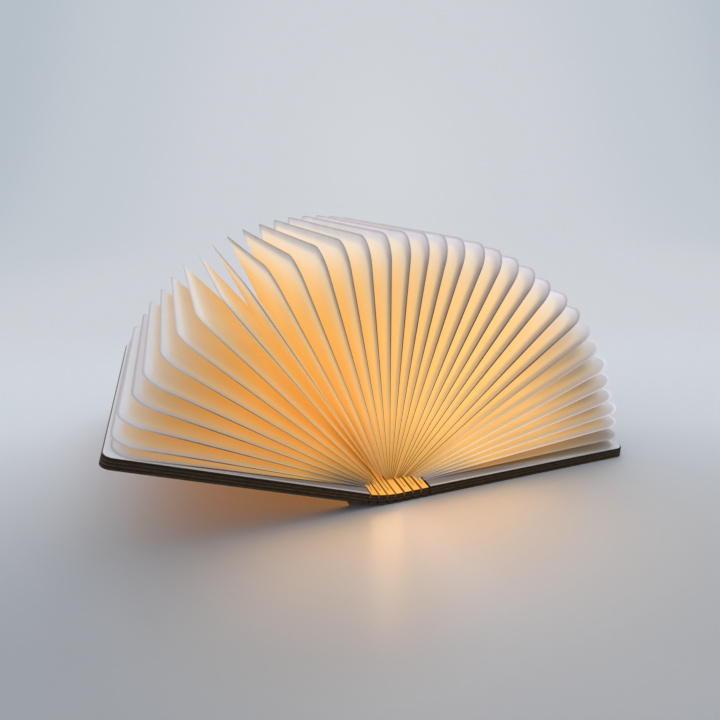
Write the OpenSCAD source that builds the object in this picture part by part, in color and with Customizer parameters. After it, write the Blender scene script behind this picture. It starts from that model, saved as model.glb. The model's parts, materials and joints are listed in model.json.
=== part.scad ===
// Folding book lamp: two plywood covers joined by a kerf-cut spine, with a
// fan of paper pages between them and a light strip let into the spine.
// X runs to the right across the open book, Y along the spine away from the
// viewer, and Z up. The origin is under the middle slat, on the table.

/* [Covers] */
// Length of the book along its spine
book_length = 215; // [180:1:260]
// Width of one cover from the spine to its outer edge
cover_width = 148; // [130:1:180]
// Thickness of the plywood
cover_t = 6.5; // [6.5:0.1:9]
// Radius of the two outer corners of each cover
cover_corner_r = 6; // [2:0.5:12]
// How far the left cover is raised off the table
left_open = 20; // [10:1:40]

/* [Spine] */
// Distance from one kerf of the spine to the next
slat_pitch = 5.6; // [5.4:0.1:6.4]
// Width of the blind slits along the middle of each slat
slit_w = 0.35; // [0.2:0.05:0.6]
// Wood left between the blind slits, and at the ends of the slat
slit_bridge = 5; // [3:0.5:8]

/* [Pages] */
// How much shorter the pages beside the covers are than a cover is wide
page_short = 4; // [0.5:0.5:20]
// How much deeper the middle pages are, so that all end in line when shut
page_gain = 8; // [0:0.5:12]
// How far the pages stay inside the covers at their outer corners
page_edge_gap = 0.8; // [0.4:0.1:4]
// How far the middle pages are cut back at the ends of the spine
page_root_setback = 16; // [8:1:24]
// How far the pages beside the covers are cut back there
cover_root_setback = 7; // [4:1:16]
// Radius of the outer corners of the pages
page_corner_r = 13; // [4:0.5:20]
// Thickness of one folded page
page_t = 0.12; // [0.08:0.01:0.16]
// Height of a page's root above the slat that carries it
root_lift = 0.15; // [0.12:0.01:0.2]
// Distance between the page roots on the middle slat
root_pitch = 0.6; // [0.5:0.05:0.62]
// Distance between the page roots on a cover
cover_root_pitch = 0.8; // [0.6:0.05:1]
// Step up from one page root to the next on a cover
cover_root_step = 0.22; // [0.2:0.01:0.24]
// Angle from the left cover up to the first page
first_page_gap = 2.6; // [2:0.1:4]
// Angle from the last page down to the right cover
last_page_gap = 3.6; // [3:0.1:5]
// How unevenly the pages hang in the fan, in degrees
page_sway = 3; // [0:0.1:3]
// Thickness of the end sheet that lines each cover
end_sheet_t = 0.15; // [0.1:0.01:0.18]

/* [Light strip] */
// Length of the strip of lights in the spine
strip_length = 170; // [100:1:175]
// Width of the strip
strip_w = 2.8; // [2:0.1:3]
// Thickness of the strip's flexible board
strip_t = 0.4; // [0.2:0.05:0.6]
// Number of lights on the strip
led_count = 14; // [6:1:18]
// Length and width of one light
led_size = 2; // [1.6:0.1:2.4]
// Height of one light
led_h = 0.6; // [0.4:0.05:0.8]

/* [Battery and board] */
// Length of the flat battery
battery_l = 62; // [40:1:80]
// Width of the flat battery
battery_w = 42; // [30:1:50]
// Thickness of the flat battery
battery_t = 3.8; // [3:0.1:4]
// Length of the control board
board_l = 34; // [28:1:44]
// Width of the control board
board_w = 18; // [15:1:24]
// Thickness of the control board
board_t = 1.2; // [0.8:0.1:1.6]
// Width of the charging socket
socket_w = 9; // [8:0.1:10]
// Height of the charging socket
socket_h = 3.2; // [2.6:0.1:3.4]
// Depth of the charging socket
socket_d = 7.4; // [6:0.1:9]
// Diameter of the magnets at the covers' outer edges
magnet_d = 8; // [5:0.5:10]
// Thickness of the magnets
magnet_t = 2; // [1:0.1:3]
// Length of the magnetic switch that lights the lamp
switch_l = 12; // [8:0.5:14]
// Diameter of the magnetic switch
switch_d = 2.2; // [1.6:0.1:2.8]
// Width of the flat lead to the spine
lead_w = 6; // [3:0.5:10]

/* [Hidden] */
// Room round each piece that is let into the wood
fit_gap = 0.15;
// How far the first page sinks into the end sheet's nap
sheet_press = 0.05;
// Half the plywood, where every kerf turns
mid = cover_t / 2;
// Kerfs on each side of the middle slat
kerfs = 4;
// Bend of each kerf with the book shut or folded right back
full_bend = 90 / kerfs;
// Bend of each left kerf as the lamp stands
rest_bend = left_open / kerfs;
// Relief at each face of a kerf, so that the slats clear at the full bend
relief = mid * tan(full_bend / 2) + 0.02;
slat_half = slat_pitch / 2;
// Where the first and last kerfs lie with the spine flat
spine_half = slat_pitch * (kerfs - 0.5);
cover_end = spine_half + cover_width;
// Bare wood at each side of a slat's face, outside the page roots
root_margin = 0.35;
root_band = 2 * (slat_half - relief - root_margin);

// Pages on the middle slat, the next slats and the cover, for each side
left_pages = [4, 4, 3, 2, 2];
right_pages = [4, 5, 4, 3, 3];
page_total = 34;
pages_left = 15;
page_step = (180 - left_open - first_page_gap - last_page_gap)
          / (page_total - 1);

// Angle of page k from the left horizontal, over the top
function page_angle(k) = left_open + first_page_gap + page_step * (k - 1)
    + page_sway * k / page_total * sin(20 * (k - 25.5));

// How far page k leans from the nearer cover, and its depth from root to edge
function page_lean(k) = min(page_angle(k) - left_open, 180 - page_angle(k));
function page_depth(k) = cover_width - page_short
    + page_gain * sin(min(90, 2 * page_lean(k)));
// Half the length of page k along its root
function page_root_half(k) = book_length / 2 - cover_root_setback
    - (page_root_setback - cover_root_setback)
    * sin(min(90, 2 * page_lean(k)));

// Pages carried by the first n links of a side
function pages_before(list, n) = n == 0 ? 0 : pages_before(list, n - 1)
    + list[n - 1];
// Link that carries the i-th page from the middle, where 4 is the cover
function link_of(list, i, n = 0) = i <= pages_before(list, n + 1) ? n
    : link_of(list, i, n + 1);

// Distance of the i-th root from the middle of the flat spine
function root_out(list, i) =
    let (n = link_of(list, i), j = i - pages_before(list, n), c = list[n])
    n == 0 ? (j - 0.5) * root_pitch :
    n < 3 ? n * slat_pitch + root_band * ((j - 0.5) / c - 0.5) :
    n == 3 ? n * slat_pitch + root_band * ((j - 0.5) / c - 1) / 2 :
    spine_half + cover_root_pitch * j;

// Height of that root over the wood
function root_up(list, i) =
    let (n = link_of(list, i), j = i - pages_before(list, n), c = list[n])
    n < kerfs ? root_lift
    : end_sheet_t + root_lift - sheet_press + cover_root_step * (c - j);

// Battery, board and lead in the right cover
board_in = 13;
battery_in = 37;
edge_wall = 3;
board_x = spine_half + board_in + board_l / 2;
battery_x = spine_half + battery_in + battery_w / 2;
board_y = book_length / 2 - edge_wall - board_w / 2;
pocket_floor = 1;
// Wood between the board's pocket and the lead's channel, and its depth
lead_wall = 8;
lead_y = board_y - board_w / 2 - lead_wall;
lead_t = 0.3;
lead_deep = 0.6;
// Distance of the magnetic switch and the magnets from the outer edge
switch_in = 30;
switch_x = cover_end - switch_in;
magnet_in = 12;
// Bare wood round the end sheets
sheet_in = 0.5;
// How deep the lights and the battery lie under the wood's face
face_gap = 0.05;

// Turns its children about a line along Y through x, z
module turn_at(x, z, a) {
    translate([x, 0, z])
        rotate([0, a, 0])
            translate([-x, 0, -z])
                children();
}

// Carries pieces drawn on the flat spine round the first n left kerfs
module left_of(n) {
    if (n == 0)
        children();
    else
        left_of(n - 1)
            turn_at(-slat_pitch * (n - 0.5), mid, rest_bend)
                children();
}

// A plate in X and Y with round corners at its outer edge, from x0 to x1
module outer_round_plate(x0, x1, length, r, t) {
    linear_extrude(height = t)
        union() {
            translate([x0, -length / 2])
                square([x1 - x0 - r, length]);
            translate([x0, -length / 2 + r])
                square([x1 - x0, length - 2 * r]);
            for (s = [-1, 1])
                translate([x1 - r, s * (length / 2 - r)])
                    circle(r = r, $fn = 48);
        }
}

// Extrudes an outline drawn in X and Z along the whole spine
module along_spine(length) {
    rotate([90, 0, 0])
        linear_extrude(height = length, center = true)
            children();
}

// A cover drawn flat and to the right, with its spine edge cut to a wedge
module cover_blank() {
    intersection() {
        outer_round_plate(spine_half, cover_end, book_length,
            cover_corner_r, cover_t);
        along_spine(book_length)
            polygon([[spine_half, mid], [spine_half + relief, 0],
                [cover_end, 0], [cover_end, cover_t],
                [spine_half + relief, cover_t]]);
    }
}

module magnet_pair(d, t, z) {
    for (s = [-1, 1])
        translate([cover_end - magnet_in, s * (book_length / 2 - magnet_in),
            z])
            cylinder(d = d, h = t, $fn = 48);
}

module end_sheet() {
    translate([0, 0, cover_t])
        outer_round_plate(spine_half + relief + sheet_in / 5,
            cover_end - sheet_in, book_length - 2 * sheet_in,
            cover_corner_r, end_sheet_t);
}

module left_cover() {
    color("saddlebrown")
        left_of(4)
            mirror([1, 0, 0])
                difference() {
                    cover_blank();
                    magnet_pair(magnet_d + 2 * fit_gap, magnet_t + 1,
                        cover_t - magnet_t);
                }
}

module left_end_sheet() {
    color("ivory")
        left_of(4)
            mirror([1, 0, 0])
                end_sheet();
}

module left_magnets() {
    color("silver")
        left_of(4)
            mirror([1, 0, 0])
                magnet_pair(magnet_d, magnet_t - face_gap, cover_t - magnet_t);
}

// A box in the right cover, from its pocket floor up through the top face
module pocket(x, y, l, w, floor) {
    translate([x - l / 2, y - w / 2, floor])
        cube([l, w, cover_t]);
}

module right_cover() {
    battery_room = battery_l + 2 * fit_gap;
    battery_side = battery_w + 2 * fit_gap;
    board_room = board_l + 2 * fit_gap;
    board_side = board_w + 2 * fit_gap;
    socket_room = socket_w + 2 * fit_gap;
    color("saddlebrown")
        difference() {
            cover_blank();
            magnet_pair(magnet_d + 2 * fit_gap, magnet_t + 1,
                cover_t - magnet_t);
            pocket(battery_x, 0, battery_side, battery_room,
                cover_t - battery_t - face_gap);
            pocket(board_x, board_y, board_room, board_side,
                pocket_floor);
            // Mouth of the charging socket, through the far edge
            translate([board_x - socket_room / 2, board_y,
                pocket_floor + board_t - fit_gap])
                cube([socket_room, book_length, socket_h + 2 * fit_gap]);
            // Channel from the board past the battery to the spine
            pocket((spine_half + battery_x) / 2, lead_y,
                battery_x - spine_half + lead_w, lead_w + 2 * fit_gap,
                cover_t - lead_deep);
            pocket(board_x, lead_y + lead_wall / 2, lead_w + 2 * fit_gap,
                lead_wall + 2 * fit_gap, cover_t - lead_deep);
            // Round-bottomed slot for the magnetic switch
            translate([switch_x, 0, cover_t - switch_d / 2])
                rotate([90, 0, 0])
                    cylinder(d = switch_d + 2 * fit_gap,
                        h = switch_l + 2 * fit_gap, center = true,
                        $fn = 32);
            pocket(switch_x, 0, switch_d + 2 * fit_gap,
                switch_l + 2 * fit_gap, cover_t - switch_d / 2);
        }
}

module right_end_sheet() {
    color("ivory")
        end_sheet();
}

module right_magnets() {
    color("silver")
        magnet_pair(magnet_d, magnet_t - face_gap, cover_t - magnet_t);
}

module battery() {
    color("steelblue")
        translate([battery_x - battery_w / 2, -battery_l / 2,
            cover_t - battery_t - face_gap])
            cube([battery_w, battery_l, battery_t]);
}

module control_board() {
    color("seagreen")
        union() {
            translate([board_x - board_l / 2, board_y - board_w / 2,
                pocket_floor])
                cube([board_l, board_w, board_t]);
            // Charger chip and coil, each a part of the board's size
            translate([board_x - board_l * 0.4, board_y - board_w / 3,
                pocket_floor])
                cube([board_w / 4, board_w / 4, board_t * 2]);
            translate([board_x + board_l * 0.35, board_y - board_w / 4,
                pocket_floor])
                cylinder(d = board_w / 4, h = board_t * 2.6, $fn = 32);
        }
}

module charging_socket() {
    wall = 0.35;
    y0 = book_length / 2 - edge_wall / 8 - socket_d;
    color("lightgray")
        translate([board_x - socket_w / 2, y0, pocket_floor + board_t])
            union() {
                difference() {
                    cube([socket_w, socket_d, socket_h]);
                    translate([wall, 1, wall])
                        cube([socket_w - 2 * wall, socket_d,
                            socket_h - 2 * wall]);
                }
                // Tongue that carries the contacts
                translate([socket_w * 0.18, 0.5, socket_h / 2 - 0.35])
                    cube([socket_w * 0.64, socket_d - 1.5, 0.7]);
            }
}

module magnetic_switch() {
    color("lightcyan")
        translate([switch_x, 0, cover_t - switch_d / 2])
            rotate([90, 0, 0])
                cylinder(d = switch_d - 2 * face_gap, h = switch_l,
                    center = true, $fn = 32);
}

// Flat lead from the board to the edge of the spine, laid in its channel
module flat_lead() {
    x0 = spine_half + relief + fit_gap;
    z = cover_t - lead_deep + face_gap;
    color("orange")
        union() {
            translate([x0, lead_y - lead_w / 2 + fit_gap, z])
                cube([board_x - x0 + lead_w / 2 - fit_gap,
                    lead_w - 2 * fit_gap, lead_t]);
            translate([board_x - lead_w / 2 + fit_gap, lead_y, z])
                cube([lead_w - 2 * fit_gap, lead_wall + lead_w / 4, lead_t]);
        }
}

// One slat, drawn flat: a wedge on each side meets its neighbour mid-way
module slat_blank(i) {
    x = i * slat_pitch;
    translate([x, 0, 0])
        along_spine(book_length)
            polygon([[-slat_half, mid], [-slat_half + relief, 0],
                [slat_half - relief, 0], [slat_half, mid],
                [slat_half - relief, cover_t],
                [-slat_half + relief, cover_t]]);
}

// A slat with the row of blind slits that lets the wood twist
module cut_slat(i) {
    rows = i % 2 == 0 ? 3 : 2;
    run = (book_length - slit_bridge) / rows;
    color("peru")
        difference() {
            slat_blank(i);
            for (k = [0 : rows - 1])
                translate([i * slat_pitch - slit_w / 2,
                    -book_length / 2 + slit_bridge + k * run, -1])
                    cube([slit_w, run - slit_bridge, cover_t + 2]);
        }
}

module slat_1() {
    left_of(3)
        cut_slat(-3);
}

module slat_2() {
    left_of(2)
        cut_slat(-2);
}

module slat_3() {
    left_of(1)
        cut_slat(-1);
}

// The middle slat has the groove for the light strip instead of slits
module slat_4() {
    color("peru")
        difference() {
            slat_blank(0);
            translate([-strip_w / 2 - fit_gap, -strip_length / 2 - fit_gap,
                cover_t - strip_t - led_h - face_gap])
                cube([strip_w + 2 * fit_gap, strip_length + 2 * fit_gap,
                    cover_t]);
        }
}

module slat_5() {
    cut_slat(1);
}

module slat_6() {
    cut_slat(2);
}

module slat_7() {
    cut_slat(3);
}

module light_strip() {
    color("white")
        translate([-strip_w / 2, -strip_length / 2,
            cover_t - strip_t - led_h - face_gap])
            cube([strip_w, strip_length, strip_t]);
}

module lights() {
    gap = strip_length / led_count;
    color("gold")
        for (k = [0 : led_count - 1])
            translate([-led_size / 2,
                -strip_length / 2 + gap * (k + 0.5) - led_size / 2,
                cover_t - led_h - face_gap])
                cube([led_size, led_size, led_h]);
}

// Outline of a page that lies to the left of its root
function corner(cx, cy, r, a0, a1, n = 6) =
    [for (i = [0 : n]) [cx + r * cos(a0 + (a1 - a0) * i / n),
        cy + r * sin(a0 + (a1 - a0) * i / n)]];

module page_leaf(depth, half_root) {
    half_edge = book_length / 2 - page_edge_gap;
    r = page_corner_r;
    rise = atan((half_edge - half_root) / depth);
    // Centre of the corner arc, tangent to the slanted edge and the outer one
    cx = -depth + r;
    cy = half_root + (depth - r) * tan(rise) - r / cos(rise);
    linear_extrude(height = page_t, center = true)
        polygon(concat([[0, -half_root]],
            corner(cx, -cy, r, 270 - rise, 180),
            corner(cx, cy, r, 180, 90 + rise),
            [[0, half_root]]));
}

// Page k stands on the link that carries it, turned to its own angle
module page(k) {
    is_left = k <= pages_left;
    list = is_left ? left_pages : right_pages;
    i = is_left ? pages_left + 1 - k : k - pages_left;
    n = link_of(list, i);
    x = (is_left ? -1 : 1) * root_out(list, i);
    z = cover_t + root_up(list, i);
    color(k % 2 == 0 ? "wheat" : "linen")
        left_of(is_left ? n : 0)
            translate([x, 0, z])
                rotate([0, page_angle(k) - (is_left ? n * rest_bend : 0), 0])
                    page_leaf(page_depth(k), page_root_half(k));
}

left_cover();
right_cover();
left_end_sheet();
right_end_sheet();
slat_1();
slat_2();
slat_3();
slat_4();
slat_5();
slat_6();
slat_7();
light_strip();
lights();
battery();
control_board();
charging_socket();
magnetic_switch();
flat_lead();
left_magnets();
right_magnets();
page(1);  // page_01
page(2);  // page_02
page(3);  // page_03
page(4);  // page_04
page(5);  // page_05
page(6);  // page_06
page(7);  // page_07
page(8);  // page_08
page(9);  // page_09
page(10);  // page_10
page(11);  // page_11
page(12);  // page_12
page(13);  // page_13
page(14);  // page_14
page(15);  // page_15
page(16);  // page_16
page(17);  // page_17
page(18);  // page_18
page(19);  // page_19
page(20);  // page_20
page(21);  // page_21
page(22);  // page_22
page(23);  // page_23
page(24);  // page_24
page(25);  // page_25
page(26);  // page_26
page(27);  // page_27
page(28);  // page_28
page(29);  // page_29
page(30);  // page_30
page(31);  // page_31
page(32);  // page_32
page(33);  // page_33
page(34);  // page_34
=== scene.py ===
import bpy, bmesh, json, math
from mathutils import Matrix, Vector
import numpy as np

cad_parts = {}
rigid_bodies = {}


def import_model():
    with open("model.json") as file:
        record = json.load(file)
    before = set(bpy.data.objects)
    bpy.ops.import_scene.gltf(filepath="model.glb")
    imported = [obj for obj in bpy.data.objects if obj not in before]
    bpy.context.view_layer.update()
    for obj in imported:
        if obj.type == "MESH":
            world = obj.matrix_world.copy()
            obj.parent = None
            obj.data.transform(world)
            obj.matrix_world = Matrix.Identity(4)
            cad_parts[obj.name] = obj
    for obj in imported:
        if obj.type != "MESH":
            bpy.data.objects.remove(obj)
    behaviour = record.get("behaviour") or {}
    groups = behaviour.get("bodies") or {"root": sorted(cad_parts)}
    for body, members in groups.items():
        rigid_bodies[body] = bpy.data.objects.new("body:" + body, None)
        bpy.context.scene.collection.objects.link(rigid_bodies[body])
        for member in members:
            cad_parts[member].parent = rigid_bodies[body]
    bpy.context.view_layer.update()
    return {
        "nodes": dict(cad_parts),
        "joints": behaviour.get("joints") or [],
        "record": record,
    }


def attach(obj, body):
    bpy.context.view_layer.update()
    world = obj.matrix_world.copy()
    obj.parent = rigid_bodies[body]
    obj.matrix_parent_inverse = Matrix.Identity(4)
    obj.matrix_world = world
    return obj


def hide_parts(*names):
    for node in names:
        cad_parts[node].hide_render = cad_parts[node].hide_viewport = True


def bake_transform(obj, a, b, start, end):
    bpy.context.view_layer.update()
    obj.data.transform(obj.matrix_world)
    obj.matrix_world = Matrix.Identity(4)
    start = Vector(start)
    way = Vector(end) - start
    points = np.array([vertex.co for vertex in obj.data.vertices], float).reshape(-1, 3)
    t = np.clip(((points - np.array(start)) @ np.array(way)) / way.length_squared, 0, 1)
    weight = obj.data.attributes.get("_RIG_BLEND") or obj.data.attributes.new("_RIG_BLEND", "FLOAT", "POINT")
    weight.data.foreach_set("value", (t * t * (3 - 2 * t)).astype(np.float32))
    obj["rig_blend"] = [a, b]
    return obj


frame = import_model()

# ---------------------------------------------------------------- plywood
# Covers and slats: one sheet of walnut-faced plywood, sawn right through at
# its outline by a laser, oiled on its faces and left brown where the beam
# charred the plies. Edges are eased by sanding.
ply_thick = 0.0065
slat_pitch = 0.0056
ease, ease_from = 0.00025, math.radians(30)
weld_gap, flat_within = 2e-6, math.radians(0.5)
veneer_dark = (0.040, 0.021, 0.013, 1)
veneer_light = (0.125, 0.068, 0.038, 1)
ply_dark = (0.007, 0.005, 0.003, 1)
ply_light = (0.190, 0.120, 0.060, 1)
# Painted lamp light on the veneer inside the spine: its lit colours and its glow
lamplit_veneer_dark = (0.52, 0.29, 0.070, 1)
lamplit_veneer_light = (0.80, 0.52, 0.15, 1)
painted_lamp_glow = (1.0, 0.42, 0.055, 1)


def put(tree, kind, feeds=None, **traits):
    n = tree.nodes.new(kind)
    for key, value in traits.items():
        setattr(n, key, value)
    for key, value in (feeds or {}).items():
        if isinstance(value, bpy.types.NodeSocket):
            tree.links.new(value, n.inputs[key])
        elif isinstance(value, bpy.types.Node):
            tree.links.new(value.outputs[0], n.inputs[key])
        else:
            n.inputs[key].default_value = value
    return n


def calc(tree, how, *terms):
    n = put(tree, "ShaderNodeMath", dict(enumerate(terms)), operation=how)
    return n.outputs[0]


def stretched(tree, place, scale):
    return put(tree, "ShaderNodeVectorMath", {0: place, 1: scale},
               operation="MULTIPLY").outputs[0]


def tinted(tree, share, first, second, blend="MIX"):
    n = put(tree, "ShaderNodeMix", data_type="RGBA", blend_type=blend)
    for at, value in ((0, share), (6, first), (7, second)):
        if isinstance(value, bpy.types.NodeSocket):
            tree.links.new(value, n.inputs[at])
        else:
            n.inputs[at].default_value = value
    return n.outputs[2]


def ranged(tree, value, low, high, start=0.0, end=1.0, smooth=False):
    """A value carried over from one range to another and held at its ends."""
    return put(tree, "ShaderNodeMapRange",
               {0: value, 1: low, 2: high, 3: start, 4: end},
               interpolation_type="SMOOTHSTEP" if smooth else "LINEAR"
               ).outputs[0]


def product(tree, first, *more):
    for value in more:
        first = calc(tree, "MULTIPLY", first, value)
    return first


def banded(tree, share, stops, how="LINEAR"):
    n = put(tree, "ShaderNodeValToRGB", {0: share})
    ramp = n.color_ramp
    ramp.interpolation = how
    while len(ramp.elements) < len(stops):
        ramp.elements.new(0.5)
    for e, (at, colour) in zip(ramp.elements, stops):
        e.position = at
        e.color = colour
    return n.outputs[0]


def shader_group(name, takes, gives):
    tree = bpy.data.node_groups.new(name, "ShaderNodeTree")
    for label, kind in takes:
        tree.interface.new_socket(label, in_out="INPUT",
                                  socket_type="NodeSocket" + kind)
    for label, kind in gives:
        tree.interface.new_socket(label, in_out="OUTPUT",
                                  socket_type="NodeSocket" + kind)
    return tree, put(tree, "NodeGroupInput").outputs


def placed(tree, group, values):
    """A shader group in a material's tree, fed with its own values."""
    return put(tree, "ShaderNodeGroup", values, node_tree=group).outputs


plywood, given = shader_group(
    "walnut plywood",
    [("Place", "Vector"), ("Side", "Vector"), ("Thickness", "Float"),
     ("Face Dark", "Color"), ("Face Light", "Color"),
     ("Ply Dark", "Color"), ("Ply Light", "Color"), ("Painted Lamp Light", "Float")],
    [("Colour", "Color"), ("Glow", "Color"), ("Roughness", "Float"),
     ("Relief", "Float")])
place, side = given["Place"], given["Side"]
axes = put(plywood, "ShaderNodeSeparateXYZ", {0: place})
facing = put(plywood, "ShaderNodeSeparateXYZ", {0: side})
on_face = ranged(plywood, calc(plywood, "ABSOLUTE", facing.outputs[2]),
                 0.55, 0.85)
# Veneer: broad figure along the spine, fine streaks, and short open pores
figure = put(plywood, "ShaderNodeTexWave",
             {"Vector": stretched(plywood, place, (1, 0.10, 1)),
              "Scale": 16.0, "Distortion": 7.0, "Detail": 3.0,
              "Detail Scale": 1.6, "Detail Roughness": 0.6},
             bands_direction="X").outputs["Fac"]
streak = put(plywood, "ShaderNodeTexNoise",
             {"Vector": stretched(plywood, place, (1, 0.035, 1)),
              "Scale": 650.0, "Detail": 5.0, "Roughness": 0.6}).outputs[0]
pore = put(plywood, "ShaderNodeTexNoise",
           {"Vector": stretched(plywood, place, (1, 0.06, 1)),
            "Scale": 1900.0, "Detail": 2.0}).outputs[0]
open_pore = ranged(plywood, pore, 0.60, 0.68)
share = calc(plywood, "MULTIPLY_ADD", figure, 0.45,
             product(plywood, streak, 0.75))
face_colour = tinted(plywood, share, given["Face Dark"],
                     given["Face Light"])
face_colour = tinted(plywood, product(plywood, open_pore, 0.7),
                     face_colour, (0.012, 0.007, 0.005, 1))
# Edge: five plies, with their own grain and scorched by the laser
level = calc(plywood, "DIVIDE", axes.outputs[2], given["Thickness"])
scorch = put(plywood, "ShaderNodeTexNoise",
             {"Vector": stretched(plywood, place, (0.10, 0.10, 1)),
              "Scale": 2400.0, "Detail": 3.0, "Roughness": 0.7}).outputs[0]
wander = put(plywood, "ShaderNodeTexNoise",
             {"Vector": stretched(plywood, place, (0.2, 0.2, 1)),
              "Scale": 260.0, "Detail": 2.0}).outputs[0]
level = calc(plywood, "MULTIPLY_ADD", calc(plywood, "SUBTRACT", wander, 0.5),
             0.07, level)
plies = ((0.0, 0.25), (0.12, 0.75), (0.30, 0.12), (0.42, 0.9),
         (0.58, 0.15), (0.70, 0.7), (0.88, 0.2))
layer = banded(plywood, level, [(at, (tone, tone, tone, 1))
                                for at, tone in plies], "EASE")
edge_share = product(plywood, layer,
                     ranged(plywood, scorch, 0.35, 0.65, 0.35, 1.0))
edge_colour = tinted(plywood, edge_share, given["Ply Dark"],
                     given["Ply Light"])
colour = tinted(plywood, on_face, edge_colour, face_colour)
# Inside of the spine: bare pale veneer with the warm light of the lights beside
# it painted on: a painted lamplit colour, and a painted glow on its upward faces
inside = product(plywood, given["Painted Lamp Light"],
                 ranged(plywood, facing.outputs[2], 0.10, 0.30))
lamplit_veneer = tinted(plywood, streak, lamplit_veneer_dark, lamplit_veneer_light)
painted_glow_share = product(plywood, inside,
                 ranged(plywood, facing.outputs[2], 0.25, 0.95, 0.12, 1.0))
put(plywood, "NodeGroupOutput", {
    "Colour": tinted(plywood, inside, colour, lamplit_veneer),
    "Glow": tinted(plywood, painted_glow_share, (0, 0, 0, 1), painted_lamp_glow),
    "Roughness": ranged(plywood, product(plywood, on_face, streak),
                        0.0, 0.7, 0.82, 0.5),
    "Relief": calc(plywood, "SUBTRACT", share,
                   product(plywood, open_pore, 1.5))})


def finish(name, look, relief=0.00003, **plain):
    """A material whose group outputs feed the shader and its bump."""
    mat = bpy.data.materials.new(name)
    mat.use_nodes = True
    tree = mat.node_tree
    skin = tree.nodes["Principled BSDF"]
    outs = look(tree)
    for label, value in plain.items():
        skin.inputs[label.replace("_", " ")].default_value = value
    for label, socket in outs.items():
        if label != "Relief":
            tree.links.new(socket, skin.inputs[label])
    if "Relief" in outs:
        bump = put(tree, "ShaderNodeBump",
                   {"Height": outs["Relief"], "Strength": 0.5,
                    "Distance": relief})
        tree.links.new(bump.outputs[0], skin.inputs["Normal"])
    return mat


def walnut(name, turn=0.0, shift=(0.0, 0.0, 0.0), painted_lamp_light=0.0):
    """Plywood whose grain lies in the flat board before it was bent."""
    def look(tree):
        where = put(tree, "ShaderNodeTexCoord")
        flat = put(tree, "ShaderNodeMapping",
                   {"Vector": where.outputs["Object"],
                    "Rotation": (0, turn, 0), "Location": shift})
        flat_side = put(tree, "ShaderNodeMapping",
                        {"Vector": where.outputs["Normal"],
                         "Rotation": (0, turn, 0)}, vector_type="VECTOR")
        wood = placed(tree, plywood, {
            "Place": flat, "Side": flat_side, "Thickness": ply_thick,
            "Face Dark": veneer_dark, "Face Light": veneer_light,
            "Ply Dark": ply_dark, "Ply Light": ply_light, "Painted Lamp Light": painted_lamp_light})
        return {"Base Color": wood["Colour"], "Emission Color": wood["Glow"],
                "Roughness": wood["Roughness"], "Relief": wood["Relief"]}
    return finish(name, look, relief=0.00006, Emission_Strength=0.6,
                  Specular_IOR_Level=0.25)


def carrier(node):
    """The body that a node of the frame rides on."""
    groups = frame["record"]["behaviour"]["bodies"]
    return next(b for b, nodes in groups.items() if node in nodes)


def sanded(node, mat):
    """A copy of a wooden node with its sharp edges eased."""
    mesh = frame["nodes"][node].data.copy()
    mesh.materials.clear()
    bm = bmesh.new()
    bm.from_mesh(mesh)
    bmesh.ops.remove_doubles(bm, verts=bm.verts, dist=weld_gap)
    bmesh.ops.dissolve_limit(bm, angle_limit=flat_within, verts=bm.verts,
                             edges=bm.edges)
    bm.to_mesh(mesh)
    bm.free()
    piece = bpy.data.objects.new("board_" + node, mesh)
    bpy.context.scene.collection.objects.link(piece)
    bevel = piece.modifiers.new("ease", "BEVEL")
    bevel.width = ease
    bevel.segments = 2
    bevel.limit_method = "ANGLE"
    bevel.angle_limit = ease_from
    bevel.use_clamp_overlap = True
    view = bpy.context.evaluated_depsgraph_get()
    eased = bpy.data.meshes.new_from_object(piece.evaluated_get(view))
    piece.modifiers.clear()
    piece.data = eased
    eased.materials.clear()
    eased.materials.append(mat)
    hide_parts(node)
    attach(piece, carrier(node))


hinge_at = {j["name"]: Vector(j["pos_m"]) for j in frame["joints"]}
rest_bend = math.radians(5)
cover_lean = 4 * rest_bend
flat_cover_walnut = walnut("walnut plywood, right cover")
flat_slat_walnut = walnut("walnut plywood, flat slats", painted_lamp_light=1.0)
# The left cover and the slats beside it are bent up, but their grain is that
# of the flat board, so it is turned back by as much
for n, node in ((4, "left_cover"), (3, "slat_1"), (2, "slat_2"),
                (1, "slat_3")):
    back = -n * rest_bend
    at = hinge_at[node + "_fold"]
    turned = Vector((at.x * math.cos(back) + at.z * math.sin(back), 0,
                     -at.x * math.sin(back) + at.z * math.cos(back)))
    flat_hinge = Vector((-slat_pitch * (n - 0.5), 0, ply_thick / 2))
    bent = walnut("walnut plywood, " + node.replace("_", " "), back,
                  tuple(flat_hinge - turned), float(node != "left_cover"))
    sanded(node, bent)
for node in ("slat_4", "slat_5", "slat_6", "slat_7"):
    sanded(node, flat_slat_walnut)
sanded("right_cover", flat_cover_walnut)

# ---------------------------------------------------------------- magnets
# Magnets: four nickel-plated discs pressed into blind holes at the corners
# of the covers, flush with the wood, that hold the book open or shut.
def nickel(tree):
    where = put(tree, "ShaderNodeTexCoord").outputs["Object"]
    haze = put(tree, "ShaderNodeTexNoise",
               {"Vector": where, "Scale": 900.0, "Detail": 4.0}).outputs[0]
    return {"Base Color": tinted(tree, haze, (0.52, 0.52, 0.54, 1),
                                 (0.74, 0.73, 0.72, 1)),
            "Roughness": ranged(tree, haze, 0.0, 1.0, 0.12, 0.38),
            "Relief": haze}


def clad(node, mat):
    """Give a node that keeps its own shape its material."""
    own = frame["nodes"][node].data.materials
    own.clear()
    own.append(mat)


nickel_plate = finish("nickel plate", nickel, 0.00001, Metallic=1.0)
for node in ("left_magnets", "right_magnets"):
    clad(node, nickel_plate)

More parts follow.
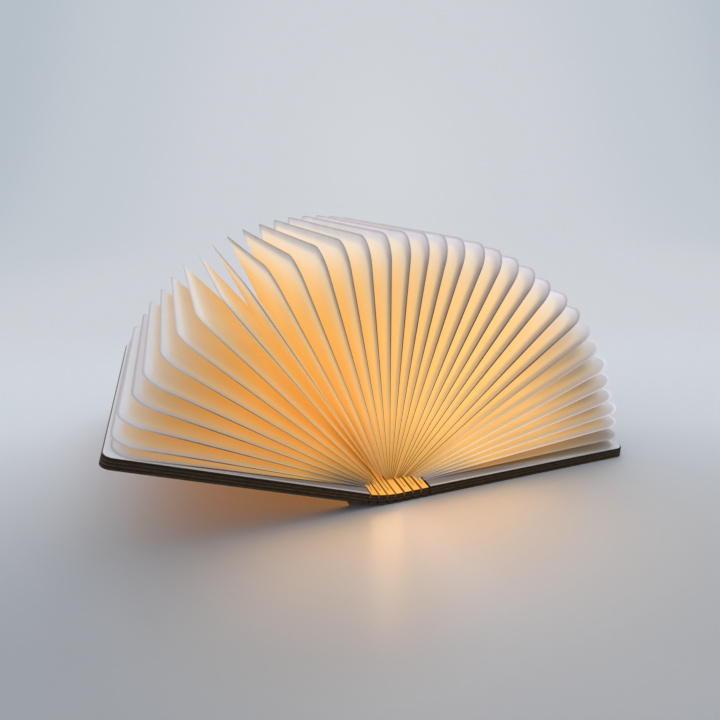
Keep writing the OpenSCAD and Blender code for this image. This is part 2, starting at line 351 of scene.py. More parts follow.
# ---------------------------------------------------------------- electrics
# Battery, board, socket, switch and flat lead: let into pockets in the right
# cover and hidden by its end sheet. A flat pouch cell, a green fibreglass
# board, a pressed steel socket, a glass reed and an amber film.
speckle, given = shader_group(
    "fine speckle",
    [("Place", "Vector"), ("Scale", "Float"), ("First", "Color"),
     ("Second", "Color"), ("Least Rough", "Float"), ("Most Rough", "Float")],
    [("Colour", "Color"), ("Roughness", "Float"), ("Relief", "Float")])
spots = put(speckle, "ShaderNodeTexNoise",
            {"Vector": given["Place"], "Scale": given["Scale"],
             "Detail": 5.0, "Roughness": 0.65}).outputs[0]
put(speckle, "NodeGroupOutput", {
    "Colour": tinted(speckle, spots, given["First"], given["Second"]),
    "Roughness": ranged(speckle, spots, 0.0, 1.0, given["Least Rough"],
                        given["Most Rough"]),
    "Relief": spots})

conductors, given = shader_group(
    "printed conductors",
    [("Place", "Vector"), ("Board", "Color"), ("Trace", "Color"),
     ("Trace Width", "Float"), ("Trace Length", "Float"),
     ("Least Rough", "Float"), ("Most Rough", "Float")],
    [("Colour", "Color"), ("Roughness", "Float"), ("Relief", "Float")])
lines = put(conductors, "ShaderNodeTexBrick",
            {"Vector": given["Place"], "Scale": 1.0,
             "Mortar Size": given["Trace Width"], "Mortar Smooth": 0.2,
             "Brick Width": given["Trace Length"],
             "Row Height": product(conductors, given["Trace Length"], 0.35)
             }).outputs["Fac"]
weave = put(conductors, "ShaderNodeTexNoise",
            {"Vector": given["Place"], "Scale": 1500.0}).outputs[0]
put(conductors, "NodeGroupOutput", {
    "Colour": tinted(conductors, lines, given["Board"], given["Trace"]),
    "Roughness": ranged(conductors, weave, 0.0, 1.0, given["Least Rough"],
                        given["Most Rough"]),
    "Relief": lines})


def patterned(group, values):
    """A look made by one of these groups with its own values."""
    def look(tree):
        where = put(tree, "ShaderNodeTexCoord").outputs["Object"]
        made = placed(tree, group, dict(values, Place=where))
        return {"Base Color": made["Colour"],
                "Roughness": made["Roughness"], "Relief": made["Relief"]}
    return look


def speckled(first, second, scale, rough):
    """A plain surface that varies a little from spot to spot."""
    return patterned(speckle, {
        "First": first, "Second": second, "Scale": scale,
        "Least Rough": rough - 0.12, "Most Rough": rough + 0.12})


def printed(board, trace, width, length, rough):
    """A board or film with straight conductors printed on it."""
    return patterned(conductors, {
        "Board": board, "Trace": trace, "Trace Width": width,
        "Trace Length": length, "Least Rough": rough,
        "Most Rough": rough + 0.2})


for node, mat in (
        ("battery", finish("blue pouch film", speckled(
            (0.028, 0.055, 0.15, 1), (0.045, 0.085, 0.21, 1), 300.0, 0.38),
            0.0001)),
        ("control_board", finish("green fibreglass", printed(
            (0.012, 0.085, 0.030, 1), (0.10, 0.30, 0.09, 1),
            0.00022, 0.004, 0.35))),
        ("charging_socket", finish("pressed steel", speckled(
            (0.42, 0.42, 0.43, 1), (0.58, 0.58, 0.59, 1), 1200.0, 0.30),
            0.00001, Metallic=1.0)),
        ("magnetic_switch", finish("switch glass", speckled(
            (0.62, 0.78, 0.72, 1), (0.80, 0.90, 0.86, 1), 500.0, 0.16),
            0.00001, IOR=1.5)),
        ("flat_lead", finish("amber film", printed(
            (0.50, 0.20, 0.035, 1), (0.72, 0.36, 0.12, 1),
            0.0003, 0.02, 0.25)))):
    clad(node, mat)

# ---------------------------------------------------------------- lights
# Light strip: a white flexible board glued in the groove of the middle slat,
# with a row of warm yellow light chips soldered on it.
clad("light_strip", finish("white strip board", printed(
    (0.78, 0.76, 0.70, 1), (0.70, 0.52, 0.30, 1), 0.00025, 0.006, 0.4)))


def phosphor(tree):
    where = put(tree, "ShaderNodeTexCoord").outputs["Object"]
    grains = put(tree, "ShaderNodeTexNoise",
                 {"Vector": where, "Scale": 1400.0, "Detail": 3.0}).outputs[0]
    return {"Base Color": tinted(tree, grains, (0.95, 0.70, 0.26, 1),
                                 (1.0, 0.82, 0.42, 1)),
            "Emission Color": tinted(tree, grains, (1.0, 0.50, 0.12, 1),
                                     (1.0, 0.66, 0.24, 1)),
            "Relief": grains}


clad("lights", finish("lit phosphor", phosphor, Roughness=0.4,
                      Emission_Strength=5.0))

# ---------------------------------------------------------------- paper
# Paper: tough white fibre paper that lets light through. An end sheet is
# glued to each cover, and one long bellows of 34 folds is glued to the end
# sheets and along the spine, lit orange near the lights and white at the rim.
def paint_light_and_shade(tree, colour, dye):
    """One colour multiplied by another, to paint light or shade on it."""
    return tinted(tree, 1.0, colour, dye, "MULTIPLY")


matted, given = shader_group("matted fibres", [("Place", "Vector")],
                             [("Strands", "Float")])
put(matted, "NodeGroupOutput", {"Strands": put(
    matted, "ShaderNodeTexNoise",
    {"Vector": given["Place"], "Scale": 700.0, "Detail": 6.0,
     "Roughness": 0.7, "Distortion": 1.2})})

fibre, given = shader_group(
    "lit fibre paper",
    [("Place", "Vector"), ("Strands", "Float"), ("Reach", "Float"),
     ("Fold", "Float"), ("Brightness", "Float"), ("Daylit", "Float"),
     ("Beside", "Float")],
    [("Colour", "Color"), ("Glow", "Color"), ("Relief", "Float")])
place, strands, reach, fold, lit, day, beside = given[:7]
clouds = put(fibre, "ShaderNodeTexNoise",
             {"Vector": place, "Scale": 55.0, "Detail": 3.0}).outputs[0]
grey = ranged(fibre, strands, 0.3, 0.7, 0.94, 1.0)
# How far the light has come from the lights in the spine to the rim
far = calc(fibre, "MULTIPLY_ADD", calc(fibre, "SUBTRACT", clouds, 0.5), 0.06,
           reach)
far = product(fibre, far, ranged(fibre, day, 0.0, 1.0, 0.92, 1.0))
# The light from inside is painted: a glow, and a base colour painted orange near the lights and white at the
# rim
glow = banded(fibre, far,
              [(0.00, (0.42, 0.20, 0.032, 1)), (0.14, (0.63, 0.34, 0.068, 1)),
               (0.30, (0.76, 0.43, 0.100, 1)), (0.60, (0.76, 0.44, 0.125, 1)),
               (0.82, (0.70, 0.42, 0.145, 1)), (0.93, (0.54, 0.36, 0.17, 1)),
               (1.0, (0.30, 0.23, 0.16, 1))])
painted_lit_colour = banded(fibre, far,
              [(0.00, (0.72, 0.50, 0.24, 1)), (0.25, (0.86, 0.66, 0.40, 1)),
               (0.60, (0.87, 0.75, 0.55, 1)), (0.85, (0.86, 0.80, 0.70, 1)),
               (1.0, (0.85, 0.85, 0.86, 1))])
# Deep in the folds the light is warmer
deep = ranged(fibre, fold, 0.0, 0.45, smooth=True)
glow = paint_light_and_shade(fibre, glow, tinted(fibre, deep, (1.0, 1.22, 1.75, 1),
                                (0.84, 0.77, 0.52, 1)))
# Round its rim the paper is painted to glow less and to be whiter than inside
rim_shape = ranged(fibre, fold, 0.02, 0.15, 1.0, 0.0, smooth=True)
rim = product(fibre, rim_shape, ranged(fibre, far, 0.25, 0.80),
              ranged(fibre, day, 0.0, 1.0, 0.15, 1.0))
# Which side of the spine the paper is on: 0 at the left, 1 at the right
on_right = ranged(fibre, put(fibre, "ShaderNodeSeparateXYZ",
                             {0: place}).outputs[0], 0.0, 0.04)
# Between pages that lie close together daylight turns brown
between_pages = product(fibre, beside, ranged(fibre, fold, 0.03, 0.15))
painted_lit_colour = tinted(fibre, between_pages, painted_lit_colour, paint_light_and_shade(fibre, painted_lit_colour, tinted(
    fibre, on_right, (0.93, 0.84, 0.74, 1), (0.94, 0.89, 0.85, 1))))
glow = tinted(fibre, between_pages, glow, paint_light_and_shade(fibre, glow, tinted(
    fibre, on_right, (0.97, 0.84, 0.62, 1), (0.97, 0.87, 0.74, 1))))
# Steep pages at the left get little daylight, and a paler light from inside
steep = calc(fibre, "SUBTRACT", 1.0, day)
glow = tinted(fibre, steep, glow, paint_light_and_shade(fibre, glow, (0.80, 0.96, 1.60, 1)))
painted_lit_colour = tinted(fibre, steep, painted_lit_colour, paint_light_and_shade(fibre, painted_lit_colour, (1.0, 0.94, 0.84, 1)))
glow = paint_light_and_shade(fibre, glow, tinted(fibre, rim, (1, 1, 1, 1),
                                (0.46, 0.37, 0.47, 1)))
# Beside the covers no light reaches the paper close to the hinge
hidden = product(fibre, ranged(fibre, far, 0.05, 0.28, 1.0, 0.0),
                 ranged(fibre, beside, 0.42, 0.88, 0.0, 0.85))
glow = tinted(fibre, hidden, glow, (0.0, 0.0, 0.0, 1))
painted_lit_colour = tinted(fibre, hidden, painted_lit_colour, (0.62, 0.60, 0.66, 1))
# Painted shade round the rim: pale greys, darkest on pages that lean partway towards a cover
painted_lit_colour = tinted(fibre, rim, painted_lit_colour, banded(
    fibre, beside,
    [(0.0, (0.89, 0.86, 0.90, 1)), (0.25, (0.77, 0.76, 0.78, 1)),
     (0.50, (0.69, 0.70, 0.72, 1)), (0.80, (0.73, 0.74, 0.77, 1)),
     (1.0, (0.84, 0.84, 0.86, 1))]))
# Pages beside the covers are in shadow towards the middle of their walls,
# most of all at the right
low_page = banded(fibre, beside,
                  [(0.05, (0, 0, 0, 1)), (0.35, (1, 1, 1, 1)),
                   (0.75, (1, 1, 1, 1)), (1.0, (0.15, 0.15, 0.15, 1))])
dim = product(fibre, low_page, ranged(fibre, fold, 0.04, 0.22),
              ranged(fibre, far, 0.60, 0.95, 0.0,
                     ranged(fibre, on_right, 0.0, 1.0, 0.14, 0.47)))
# The sides of the middle pages turn away from the daylight at their edge
turned = product(fibre, rim_shape, ranged(fibre, far, 0.90, 0.99, 0.45, 0.0),
                 ranged(fibre, far, 0.30, 0.80),
                 ranged(fibre, beside, 0.05, 0.50, 1.0, 0.0))
shade = product(fibre, grey, calc(fibre, "SUBTRACT", 1.0,
                                  calc(fibre, "MAXIMUM", dim, turned)))
# A dark line of painted shade where the paper is creased, finer at the spine and
# faint round the rim. On the low pages at the right the crease catches the daylight,
# so there it is painted white, a painted highlight.
crease = ranged(
    fibre, product(fibre, fold, ranged(fibre, far, 0.05, 0.60, 2.2, 1.0)),
    0.012, 0.034, ranged(fibre, far, 0.70, 0.92, 1.0, 0.30), 0.0)
caught = product(fibre, on_right, ranged(fibre, beside, 0.10, 0.40))
crease = product(fibre, crease, calc(fibre, "SUBTRACT", 1.0, caught))
crease_shade = tinted(fibre, crease, (1, 1, 1, 1), (0.13, 0.075, 0.045, 1))
painted_lit_colour = paint_light_and_shade(fibre, painted_lit_colour, crease_shade)
glow = paint_light_and_shade(fibre, glow, crease_shade)
caught = product(fibre, caught, ranged(fibre, fold, 0.012, 0.032, 1.0, 0.0))
painted_lit_colour = tinted(fibre, caught, painted_lit_colour, (0.97, 0.97, 0.98, 1))
# The walls curve in to their fold over the last few millimetres
rounding = ranged(fibre, fold, 0.0, 0.13, 0.0, 75.0, smooth=True)
put(fibre, "NodeGroupOutput", {
    "Colour": paint_light_and_shade(fibre, painted_lit_colour, shade),
    "Glow": paint_light_and_shade(fibre, glow, product(fibre, lit, shade)),
    "Relief": calc(fibre, "ADD", strands, rounding)})


def lit_paper(tree, fold_shift=0.0):
    """The group above, fed by the facts that each wall of a fold carries."""
    where = put(tree, "ShaderNodeTexCoord").outputs["Object"]
    facts = {label.title(): put(tree, "ShaderNodeAttribute",
                                attribute_name=label).outputs["Fac"]
             for label in ("reach", "fold", "brightness", "daylit",
                           "beside")}
    facts["Fold"] = calc(tree, "ADD", facts["Fold"], fold_shift)
    facts["Place"] = where
    facts["Strands"] = placed(tree, matted, {"Place": where})["Strands"]
    made = placed(tree, fibre, facts)
    return {"Base Color": made["Colour"], "Emission Color": made["Glow"],
            "Relief": made["Relief"]}


bellows_paper = finish("lit fibre paper", lit_paper, 0.00004,
                       Roughness=0.85, Emission_Strength=0.47)
# The last walls are painted in shade: they glow far less, and their fold is shifted so that no crease line
# or rim is painted on them
last_wall_paper = finish("shaded fibre paper",
                         lambda tree: lit_paper(tree, 0.15), 0.00004,
                         Roughness=0.85, Emission_Strength=0.04)


def plain_paper(tree):
    """End sheet: painted in the fan's shadow but for its edge and its outer part."""
    where = put(tree, "ShaderNodeTexCoord").outputs["Object"]
    fibres = placed(tree, matted, {"Place": where})["Strands"]
    apart = put(tree, "ShaderNodeSeparateXYZ", {0: where}).outputs
    bare_edge = ranged(tree, calc(tree, "ABSOLUTE", apart[1]),
                       0.1050, 0.1062)
    outer_part = ranged(tree, calc(tree, "ABSOLUTE", apart[0]),
                        0.060, 0.125, smooth=True)
    # Painted shadow: dark grey where the fan shades the end sheet
    painted_shadow = tinted(tree, fibres, (0.36, 0.33, 0.35, 1),
                   (0.44, 0.41, 0.43, 1))
    white = tinted(tree, fibres, (0.80, 0.80, 0.80, 1),
                   (0.92, 0.92, 0.91, 1))
    open_part = calc(tree, "MAXIMUM", bare_edge, outer_part)
    return {"Base Color": tinted(tree, open_part, painted_shadow, white),
            "Relief": fibres}


end_paper = finish("end sheet paper", plain_paper, 0.00004, Roughness=0.85)
for node in ("left_end_sheet", "right_end_sheet"):
    clad(node, end_paper)

# One wall of a fold: a strip that runs round a page from one end of the spine
# to the other, from its outer fold in to the seam it shares with the next.
wall = bpy.data.node_groups.new("wall of a paper fold", "GeometryNodeTree")
for label, kind in (("Geometry", "Geometry"), ("Fold Root", "Vector"),
                    ("Fold Turn", "Float"), ("Seam Root", "Vector"),
                    ("Seam Turn", "Float"), ("Fold Depth", "Float"),
                    ("Seam Depth", "Float"), ("Fold Root Half", "Float"),
                    ("Seam Root Half", "Float"), ("Edge Half", "Float"),
                    ("Corner Radius", "Float"), ("Wall Width", "Float"),
                    ("Glued Lip", "Float"), ("Fold Swing", "Float"),
                    ("Seam Swing", "Float"), ("Brightness", "Float"),
                    ("Daylit", "Float"), ("Beside", "Float"),
                    ("Far Side", "Bool"), ("Paper", "Material")):
    wall.interface.new_socket(label, in_out="INPUT",
                              socket_type="NodeSocket" + kind)
wall.interface.new_socket("Geometry", in_out="OUTPUT",
                          socket_type="NodeSocketGeometry")
given = put(wall, "NodeGroupInput").outputs
along, across = 96, 8
corner_steps, seam_corner, join_gap = 12, 0.6, 2e-7
strip = put(wall, "GeometryNodeMeshGrid",
            {"Size X": 1.0, "Size Y": 1.0, "Vertices X": along + 1,
             "Vertices Y": across + 1})
spot = put(wall, "ShaderNodeSeparateXYZ",
           {0: put(wall, "GeometryNodeInputPosition")})
# u runs 0 to 3 over the page's three sides, v from the fold to the glued lip
u = product(wall, calc(wall, "ADD", spot.outputs[0], 0.5), 3.0)
v = product(wall, calc(wall, "ADD", spot.outputs[1], 0.5), across)


def held(value):
    """A value kept between 0 and 1."""
    return put(wall, "ShaderNodeClamp", {0: value, 1: 0, 2: 1}).outputs[0]


# The way along each side, with the points drawn together at its corners
out_way = calc(wall, "SINE", product(wall, held(u), math.pi / 2))
over_way = product(wall, calc(wall, "SUBTRACT", 1.0, calc(
    wall, "COSINE", product(wall, held(calc(wall, "SUBTRACT", u, 1.0)),
                            math.pi))), 0.5)
back_way = calc(wall, "SUBTRACT", 1.0, calc(wall, "COSINE", product(
    wall, held(calc(wall, "SUBTRACT", u, 2.0)), math.pi / 2)))


def outline(depth, root_half, inset, radius):
    """Points on the outline of a page, set in from its edge by an inset."""
    slope = calc(wall, "DIVIDE", calc(wall, "SUBTRACT", given["Edge Half"],
                                      root_half), depth)
    deep = calc(wall, "SUBTRACT", depth, inset)
    root = calc(wall, "SUBTRACT", root_half, inset)
    edge = calc(wall, "MULTIPLY_ADD", deep, slope, root)
    out = product(wall, deep, -1.0)
    corners = [put(wall, "ShaderNodeCombineXYZ", {0: x, 1: y}).outputs[0]
               for x, y in ((0.0, product(wall, root, -1.0)),
                            (out, product(wall, edge, -1.0)),
                            (out, edge), (0.0, root))]
    at = put(wall, "GeometryNodeInputIndex").outputs[0]
    pick = put(wall, "GeometryNodeIndexSwitch", {"Index": at},
               data_type="VECTOR")
    while len(pick.index_switch_items) < len(corners):
        pick.index_switch_items.new()
    for i, corner in enumerate(corners):
        wall.links.new(corner, pick.inputs[i + 1])
    line = put(wall, "GeometryNodeMeshLine", {"Count": len(corners)})
    line = put(wall, "GeometryNodeSetPosition",
               {"Geometry": line, "Position": pick.outputs[0]})
    line = put(wall, "GeometryNodeMeshToCurve", {0: line})
    line = put(wall, "GeometryNodeFilletCurve",
               {"Curve": line, "Count": corner_steps, "Radius": radius,
                "Limit Radius": True}, mode="POLY")
    # Each slanting end makes up this part of the outline's length
    front = calc(wall, "SQRT", calc(
        wall, "ADD", product(wall, deep, deep),
        calc(wall, "POWER", product(wall, deep, slope), 2.0)))
    total = calc(wall, "MULTIPLY_ADD", edge, 2.0, product(wall, front, 2.0))
    part = calc(wall, "DIVIDE", front, total)
    factor = calc(
        wall, "ADD", calc(wall, "ADD", product(wall, part, out_way),
                          product(wall, part, back_way)),
        product(wall, over_way, calc(wall, "MULTIPLY_ADD", part, -2.0, 1.0)))
    return put(wall, "GeometryNodeSampleCurve",
               {"Curves": line, "Factor": factor}, mode="FACTOR"
               ).outputs["Position"]


def vectors(how, *terms):
    return put(wall, "ShaderNodeVectorMath", dict(enumerate(terms)),
               operation=how).outputs[0]


def turned_up(flat, turn, root):
    """Points of a flat page, turned about its root to where it stands."""
    lifted = put(wall, "ShaderNodeVectorRotate",
                 {"Vector": flat, "Axis": (0, 1, 0), "Angle": turn},
                 rotation_type="AXIS_ANGLE").outputs[0]
    return vectors("ADD", lifted, root)


fold_line = outline(given["Fold Depth"], given["Fold Root Half"], 0.0,
                    given["Corner Radius"])
seam_line = outline(given["Seam Depth"], given["Seam Root Half"],
                    given["Wall Width"],
                    product(wall, given["Corner Radius"], seam_corner))
inward = vectors("NORMALIZE", vectors("SUBTRACT", seam_line, fold_line))
lip_line = put(wall, "ShaderNodeVectorMath",
               {0: inward, 3: given["Glued Lip"]}, operation="SCALE")
lip_line = vectors("ADD", lip_line.outputs[0], seam_line)
share = held(calc(wall, "DIVIDE", v, float(across - 1)))
in_lip = calc(wall, "GREATER_THAN", v, across - 0.5)


def between(share, first, second, kind="VECTOR"):
    n = put(wall, "ShaderNodeMix", data_type=kind)
    a, b = (4, 5) if kind == "VECTOR" else (2, 3)
    for at, value in ((0, share), (a, first), (b, second)):
        wall.links.new(value, n.inputs[at])
    return n.outputs[1 if kind == "VECTOR" else 0]


seam_flat = between(in_lip, seam_line, lip_line)
final = between(share, turned_up(fold_line, given["Fold Turn"],
                                 given["Fold Root"]),
                turned_up(seam_flat, given["Seam Turn"],
                          given["Seam Root"]))
sheet = put(wall, "GeometryNodeSetPosition",
            {"Geometry": strip, "Position": final})
facts = between(share, fold_line, seam_line)
reach = calc(wall, "DIVIDE", calc(wall, "ABSOLUTE", put(
    wall, "ShaderNodeSeparateXYZ", {0: facts}).outputs[0]),
    given["Fold Depth"])
swing = between(share, given["Fold Swing"], given["Seam Swing"], "FLOAT")
# The facts are taken on the flat strip, before it is put in place
for label, value in (("reach", reach), ("fold", share), ("swing", swing),
                     ("brightness", given["Brightness"]),
                     ("daylit", given["Daylit"]),
                     ("beside", given["Beside"])):
    strip = put(wall, "GeometryNodeStoreNamedAttribute",
                {"Geometry": strip, "Name": label, "Value": value},
                data_type="FLOAT", domain="POINT")
wall.links.new(strip.outputs[0], sheet.inputs["Geometry"])
flipped = put(wall, "GeometryNodeFlipFaces",
              {"Mesh": sheet, "Selection": given["Far Side"]})
joined = put(wall, "GeometryNodeJoinGeometry", {0: flipped})
wall.links.new(given["Geometry"], joined.inputs[0])
merged = put(wall, "GeometryNodeMergeByDistance",
             {"Geometry": joined, "Distance": join_gap})
solid = put(wall, "GeometryNodeRealizeInstances", {0: merged})
done = put(wall, "GeometryNodeSetMaterial",
           {"Geometry": solid, "Material": given["Paper"]})
put(wall, "NodeGroupOutput", {0: done})
wall_input = {s.name: s.identifier for s in wall.interface.items_tree
              if s.in_out == "INPUT"}

# The pages: each fold stands on its own link of the spine or on a cover, and
# opens by half of what its two neighbours do, so that every seam stays shut.
page_count, left_count = 34, 15
page_sizes = {"Edge Half": 0.1067, "Corner Radius": 0.013,
              "Wall Width": 0.048, "Glued Lip": 0.003}
paper_thick, end_sheet_thick, end_lift = 0.00014, 0.00015, 0.00012
near_root, near_tip, crease_from = 0.02, 0.95, math.radians(40)
link_share = {"left_cover": 1.0, "slat_1": 0.75, "slat_2": 0.5,
              "slat_3": 0.25, "spine": 0.0, "slat_5": 0.25, "slat_6": 0.5,
              "slat_7": 0.75, "right_cover": 1.0}
page_on = {j["child"]: j["parent"] for j in frame["joints"]}
page_facts = []
for k in range(1, page_count + 1):
    name = "page_%02d" % k
    root = hinge_at[name + "_turn"]
    spots = [w.co for w in frame["nodes"][name].data.vertices]
    depth = max((Vector((p.x, 0, p.z)) - root).length for p in spots)
    root_half = max(p.y for p in spots
                    if (Vector((p.x, 0, p.z)) - root).length
                    < near_root * depth)
    tips = [p for p in spots
            if (Vector((p.x, 0, p.z)) - root).length > near_tip * depth]
    tip = sum(tips, Vector()) / len(tips) - root
    turn = math.atan2(tip.z, -tip.x)
    # What share of its cover's whole swing this page makes
    if k <= left_count:
        share = (math.pi / 2 - turn) / (math.pi / 2 - cover_lean)
    else:
        share = (turn - math.pi / 2) / (math.pi / 2)
    page_facts.append((name, page_on[name], root, turn, depth, root_half,
                       share))


def beside_cover(turn):
    """1 for a page that lies on a cover, 0 for one that stands free."""
    lean = min(turn - cover_lean, math.pi - turn)
    free_lean = math.radians(45)
    return 1.0 - min(1.0, max(0.0, lean) / free_lean)


def brightness(turn):
    """How bright a page glows: most right of the middle."""
    from_turn, over_degrees = 95.0, 20.0
    to_right = min(1.0, max(0.0, (math.degrees(turn) - from_turn)
                            / over_degrees))
    most, least = 1.0 + 0.20 * to_right, 0.64 + 0.20 * to_right
    return most + (least - most) * beside_cover(turn)


def daylit(turn):
    """How much daylight whitens a page: least on the steep left pages."""
    steepest, spread = math.radians(64), math.radians(20)
    away = (turn - steepest) / spread
    return 1.0 - math.exp(-away * away)


def lay_wall(piece, fold, seam, swings, far_side, paper=bellows_paper):
    """Add one wall to a piece: root, turn, depth and root half of its ends."""
    step = piece.modifiers.new("wall", "NODES")
    step.node_group = wall
    values = dict(page_sizes)
    values.update({"Fold Root": fold[0], "Fold Turn": fold[1],
                   "Fold Depth": fold[2], "Fold Root Half": fold[3],
                   "Seam Root": seam[0], "Seam Turn": seam[1],
                   "Seam Depth": seam[2], "Seam Root Half": seam[3],
                   "Fold Swing": swings[0], "Seam Swing": swings[1],
                   "Brightness": brightness(fold[1]),
                   "Daylit": daylit(fold[1]),
                   "Beside": beside_cover(fold[1]),
                   "Far Side": far_side, "Paper": paper})
    for label, value in values.items():
        step[wall_input[label]] = value


def middle(a, b):
    return tuple((first + second) / 2 for first, second in zip(a, b))


last_left = "page_%02d" % left_count
for i, (name, parent, *here, share) in enumerate(page_facts):
    root, turn, depth, root_half = here
    piece = bpy.data.objects.new("folded_" + name,
                                 bpy.data.meshes.new("folded " + name))
    bpy.context.scene.collection.objects.link(piece)
    link = link_share[parent]
    for step in (-1, 1):
        far_side = step > 0
        if 0 <= i + step < page_count:
            there = page_facts[i + step]
            # Each seam turns by the mean of what its two pages turn by. Where
            # the left pages meet the right ones, which follow another cover,
            # it stays midway between a page and what carries it.
            if (there[0] <= last_left) != (name <= last_left):
                seam_swing = 0.5
            else:
                seam_swing = (there[6] - share) / (2 * (link - share))
            lay_wall(piece, here, middle(here, there[2:6]),
                     (0.0, seam_swing), far_side)
        else:
            # The last wall turns back out and is glued to the end sheet
            if far_side:
                cover_turn, hinge = math.pi, hinge_at["right_cover_fold"]
                away = Vector((0, 0, 1))
            else:
                cover_turn, hinge = cover_lean, hinge_at["left_cover_fold"]
                away = Vector((math.sin(cover_turn), 0,
                               math.cos(cover_turn)))
            rest = hinge + away * (ply_thick / 2 + end_sheet_thick
                                   + end_lift)
            border = (rest, cover_turn, depth, root_half)
            lay_wall(piece, here, middle(here, border), (0.0, 0.5),
                     far_side)
            lay_wall(piece, border, middle(here, border), (1.0, 0.5),
                     not far_side, last_wall_paper)
    shell = piece.modifiers.new("paper", "SOLIDIFY")
    shell.thickness = paper_thick
    shell.offset = 0
    view = bpy.context.evaluated_depsgraph_get()
    mesh = bpy.data.meshes.new_from_object(piece.evaluated_get(view))
    piece.modifiers.clear()
    piece.data = mesh
    mesh.shade_smooth()
    mesh.set_sharp_from_angle(angle=crease_from)
    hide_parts(name)
    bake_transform(piece, name, parent, root, root + Vector((0, 0, 1)))
    # The blend is 0 for what turns with the page, and 1 for what stays on
    # the slat or cover that carries it
    weights = [0.0] * len(mesh.vertices)
    mesh.attributes["swing"].data.foreach_get("value", weights)
    mesh.attributes["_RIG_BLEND"].data.foreach_set("value", weights)

# ---------------------------------------------------------------- table
# Table and backdrop: one smooth pale sheet that lies flat under the lamp and
# sweeps up to a wall behind it. The table is painted darker towards the front, as
# painted shade, and the wall is shown by a painted light, paler towards its middle.
view_yaw = math.radians(18.31)
floor_reach, wall_reach, wall_high, half_wide = 4.0, 2.2, 2.6, 4.5
sweep_r, sweep_step, sweep_steps = 1.0, math.radians(6), 15
pale_x, pale_z, fade_x, fade_z = 0.12, 0.25, 1.6, 1.9


def from_front(tree, where):
    """Across, back and up, as the sheet lies towards the camera."""
    faced = put(tree, "ShaderNodeMapping",
                {"Vector": where, "Rotation": (0, 0, view_yaw)})
    return put(tree, "ShaderNodeSeparateXYZ", {0: faced}).outputs


def sweep_sheet(tree):
    where = put(tree, "ShaderNodeTexCoord").outputs["Object"]
    back = ranged(tree, from_front(tree, where)[1], -0.32, 0.50)
    fine = put(tree, "ShaderNodeTexNoise",
               {"Vector": where, "Scale": 900.0, "Detail": 2.0}).outputs[0]
    # Painted shade: the table's colour runs from dark at the front to pale at the back
    tone = banded(tree, back, [(0.0, (0.28, 0.29, 0.295, 1)),
                               (0.13, (0.38, 0.39, 0.40, 1)),
                               (0.26, (0.56, 0.56, 0.56, 1)),
                               (0.40, (0.76, 0.76, 0.76, 1)),
                               (0.60, (0.84, 0.84, 0.85, 1)),
                               (1.0, (0.84, 0.85, 0.86, 1))])
    return {"Base Color": tone,
            "Roughness": ranged(tree, fine, 0.0, 1.0, 0.275, 0.285)}


sheet_mat = finish("pale table and backdrop", sweep_sheet)
tree = sheet_mat.node_tree
# The wall is shown by a light of its own, palest above the lamp
aside, back, above = from_front(
    tree, put(tree, "ShaderNodeTexCoord").outputs["Object"])
aside = calc(tree, "DIVIDE", calc(tree, "SUBTRACT", aside, pale_x), fade_x)
above = calc(tree, "DIVIDE", calc(tree, "SUBTRACT", above, pale_z), fade_z)
from_middle = calc(tree, "SQRT", calc(
    tree, "ADD", product(tree, aside, aside), product(tree, above, above)))
wall_tone = banded(tree, from_middle,
                   [(0.0, (0.645, 0.665, 0.700, 1)),
                    (0.35, (0.615, 0.640, 0.680, 1)),
                    (0.70, (0.545, 0.590, 0.640, 1)),
                    (1.0, (0.465, 0.525, 0.580, 1))], "EASE")
shown_wall = put(tree, "ShaderNodeEmission", {0: wall_tone, 1: 1.0})
behind = ranged(tree, back, -0.05, 0.42, smooth=True)
seen = product(tree, behind, put(
    tree, "ShaderNodeLightPath").outputs["Is Camera Ray"])
mixed = put(tree, "ShaderNodeMixShader",
            {0: seen, 1: tree.nodes["Principled BSDF"].outputs[0],
             2: shown_wall})
tree.links.new(mixed.outputs[0], tree.nodes["Material Output"].inputs[0])

profile = [(-floor_reach, 0.0), (-0.5, 0.0), (0.0, 0.0),
           (wall_reach - sweep_r, 0.0)]
profile += [(wall_reach - sweep_r + sweep_r * math.sin(sweep_step * i),
             sweep_r - sweep_r * math.cos(sweep_step * i))
            for i in range(1, sweep_steps + 1)]
profile.append((wall_reach, wall_high))
to_back = Vector((math.sin(view_yaw), math.cos(view_yaw), 0))
to_side = Vector((math.cos(view_yaw), -math.sin(view_yaw), 0))
spots = [tuple(to_back * y + to_side * x + Vector((0, 0, z)))
         for y, z in profile for x in (-half_wide, half_wide)]
sheet_mesh = bpy.data.meshes.new("table and backdrop")
sheet_mesh.from_pydata(spots, [], [
    (2 * i, 2 * i + 1, 2 * i + 3, 2 * i + 2)
    for i in range(len(profile) - 1)])
sheet_mesh.shade_smooth()
sheet_mesh.materials.append(sheet_mat)
table = bpy.data.objects.new("table_and_backdrop", sheet_mesh)
bpy.context.scene.collection.objects.link(table)

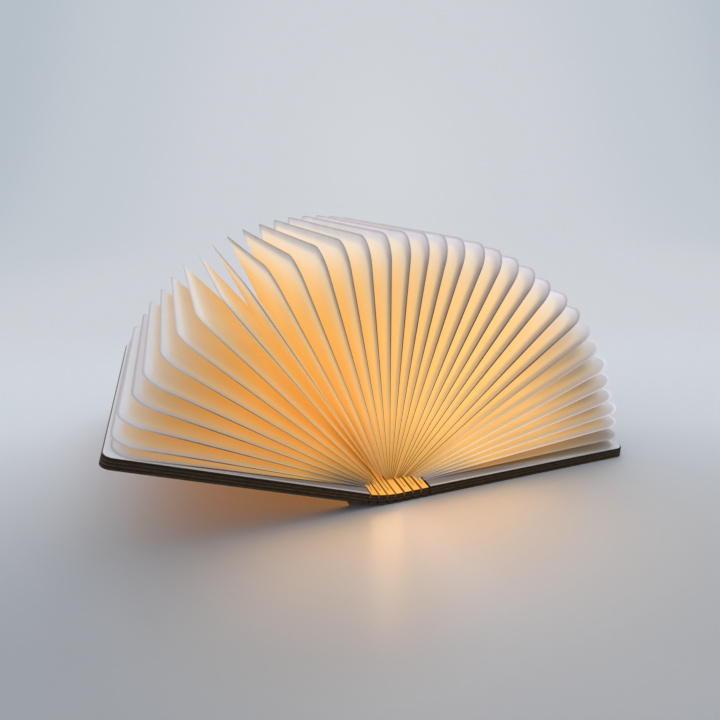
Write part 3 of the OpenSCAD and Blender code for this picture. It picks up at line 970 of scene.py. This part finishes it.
# ---------------------------------------------------------------- daylight
# Daylight: an even pale sky, a broad soft window and a fill from above, with
# the lamp's own warm light where it spills out of the spine.
world = bpy.data.worlds.new("daylight")
bpy.context.scene.world = world
world.use_nodes = True
sky = world.node_tree
sky_light = sky.nodes["Background"]
toward = put(sky, "ShaderNodeVectorMath",
             {0: put(sky, "ShaderNodeTexCoord").outputs["Generated"],
              1: (0.10, 0.62, 0.78)}, operation="DOT_PRODUCT")
sky_tone = banded(sky, ranged(sky, toward.outputs["Value"], -0.6, 0.9),
                  [(0.0, (0.12, 0.13, 0.14, 1)),
                   (0.5, (0.36, 0.39, 0.43, 1)),
                   (1.0, (1.10, 1.18, 1.30, 1))], "EASE")
sky.links.new(sky_tone, sky_light.inputs["Color"])
seen = put(sky, "ShaderNodeBackground",
           {"Color": (0.58, 0.62, 0.67, 1), "Strength": 1.0})
ray = put(sky, "ShaderNodeLightPath")
pick = put(sky, "ShaderNodeMixShader",
           {0: ray.outputs["Is Camera Ray"], 1: sky_light.outputs[0],
            2: seen.outputs[0]})
sky.links.new(pick.outputs[0], sky.nodes["World Output"].inputs[0])


def lamp(name, power, colour, place, aim, size):
    """A soft light the camera doesn't see, facing the point it is aimed at."""
    data = bpy.data.lights.new(name, "AREA")
    data.energy = power
    data.color = colour
    data.shape = "RECTANGLE"
    data.size, data.size_y = size
    holder = bpy.data.objects.new(name, data)
    holder.location = place
    holder.rotation_euler = (Vector(aim) - Vector(place)).to_track_quat(
        "-Z", "Y").to_euler()
    holder.visible_camera = False
    bpy.context.scene.collection.objects.link(holder)
    return holder


low_on_lamp = (0, 0, 0.05)
lamp("window", 4.0, (0.88, 0.95, 1.0), (-1.1, 0.2, 1.1), low_on_lamp,
     (1.2, 1.2))
lamp("top_fill", 5.0, (0.96, 0.98, 1.0), (0.7, 0.5, 1.3), low_on_lamp,
     (1.4, 1.0))
# Out of the front of the fan, and through the left cover's hinge
spill_front = lamp("spill_front", 0.085, (1.0, 0.50, 0.14),
                   (-0.004, -0.112, 0.050), (-0.004, -0.30, 0.030),
                   (0.18, 0.05))
below_cover = Vector((-0.086, 0.0, 0.0205))
spill_left = lamp("spill_left", 0.040, (1.0, 0.38, 0.07), below_cover,
                  below_cover - Vector((math.sin(cover_lean), 0.0,
                                        math.cos(cover_lean))),
                  (0.20, 0.125))
for glow_only in (spill_front, spill_left):
    glow_only.visible_glossy = False
# The bright fan mirrored in the satin table, as a tall streak before it
mirrored = lamp("streak", 0.015, (1.0, 0.62, 0.27), (-0.009, -0.109, 0.050),
                (-0.009, -0.50, 0.050), (0.020, 0.09))
mirrored.visible_diffuse = False

# ---------------------------------------------------------------- camera
# Camera: low and close, a little left of the spine's near end, with a short
# lens, so that the fan opens towards the viewer.
stand = Vector((-0.1131, -0.3784, 0.1842))
lens_data = bpy.data.cameras.new("camera")
lens_data.sensor_width = 36
lens_data.lens = 27.78
lens_data.clip_start = 0.01
camera = bpy.data.objects.new("camera", lens_data)
yaw, pitch, roll = view_yaw, math.radians(17.73), math.radians(-1.23)
forward = Vector((math.sin(yaw) * math.cos(pitch),
                  math.cos(yaw) * math.cos(pitch), -math.sin(pitch)))
right = forward.cross(Vector((0, 0, 1))).normalized()
up = right.cross(forward)
right, up = (right * math.cos(roll) + up * math.sin(roll),
             up * math.cos(roll) - right * math.sin(roll))
camera.matrix_world = Matrix(((right.x, up.x, -forward.x, stand.x),
                              (right.y, up.y, -forward.y, stand.y),
                              (right.z, up.z, -forward.z, stand.z),
                              (0, 0, 0, 1)))
bpy.context.scene.collection.objects.link(camera)
bpy.context.scene.camera = camera
bpy.context.scene.view_settings.view_transform = "Standard"
